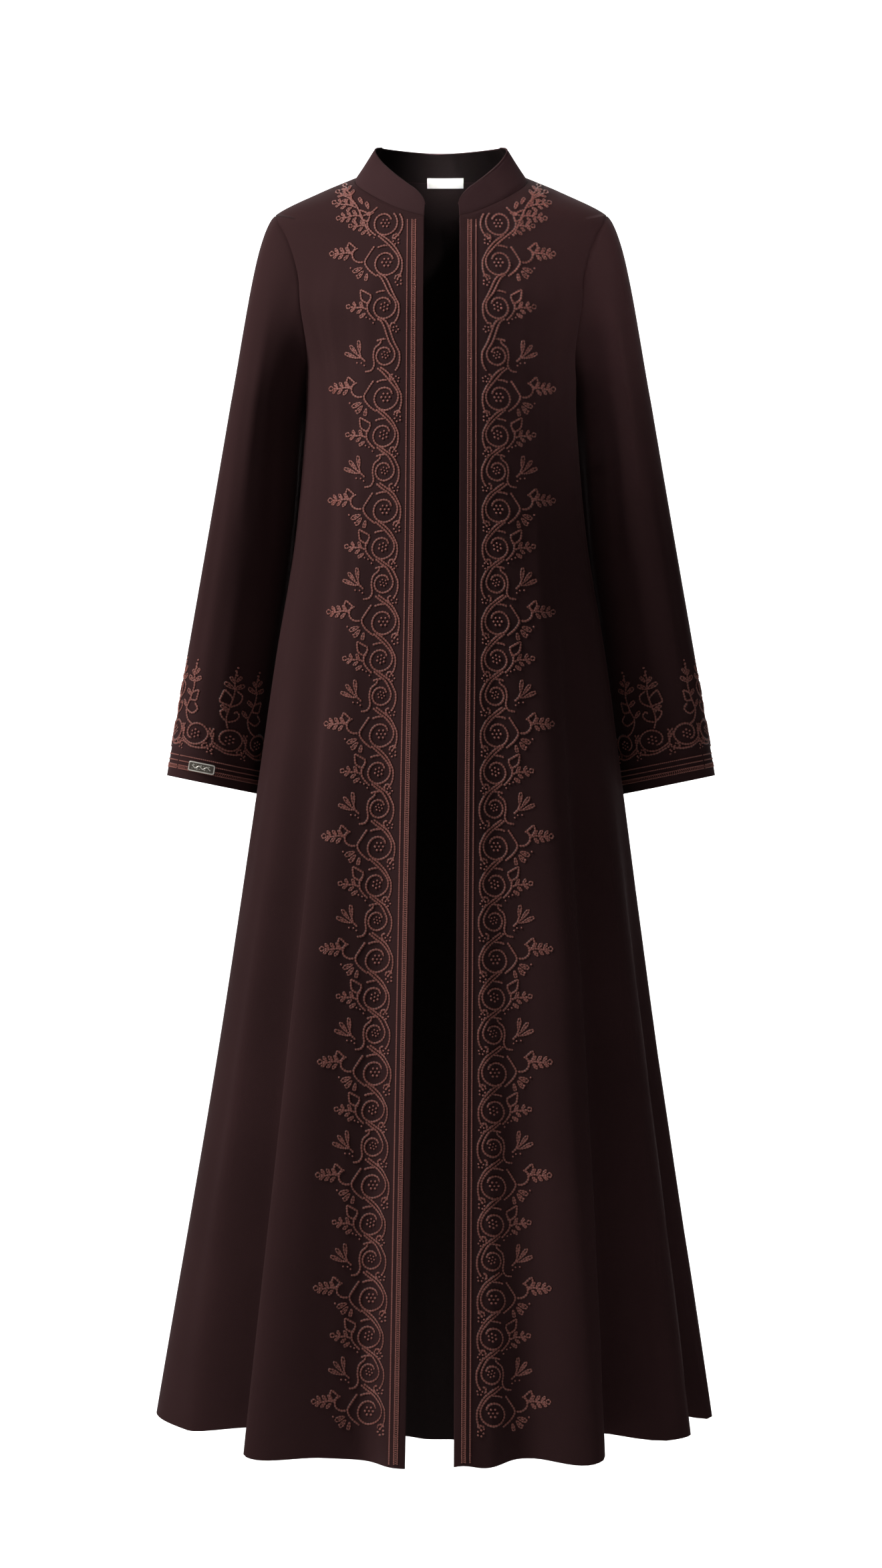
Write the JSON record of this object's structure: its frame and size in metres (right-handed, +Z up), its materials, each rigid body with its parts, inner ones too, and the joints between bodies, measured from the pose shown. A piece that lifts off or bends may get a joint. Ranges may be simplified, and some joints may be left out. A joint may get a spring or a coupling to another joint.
{
  "type": "open-front abaya",
  "caption": "Floor-length open-front abaya with a stand collar, long set-in sleeves and a flared skirt in deep folds, hollow as worn, with a small cuff plate.",
  "frame": {"origin": "midway between the two high shoulder points, where the collar seam crosses the shoulder seams: the place from which the garment hangs on its wearer", "axes": "+Z up along the garment's length; the open front faces -Y; +X to the right in the front view"},
  "size_m": [0.6403, 0.3956, 1.5015],
  "materials": {
    "crepe": "matt plum-brown crepe",
    "collar_crepe": "the same crepe, stiffened in the collar",
    "label": "smooth off-white tape",
    "plate": "satin, pale champagne"
  },
  "bodies": {
    "root": {"back": "crepe", "front_left": "crepe", "front_right": "crepe", "sleeve_left": "crepe", "sleeve_right": "crepe", "collar": "collar_crepe", "neck_label": "label", "cuff_plate": "plate"}
  },
  "joints": []
}
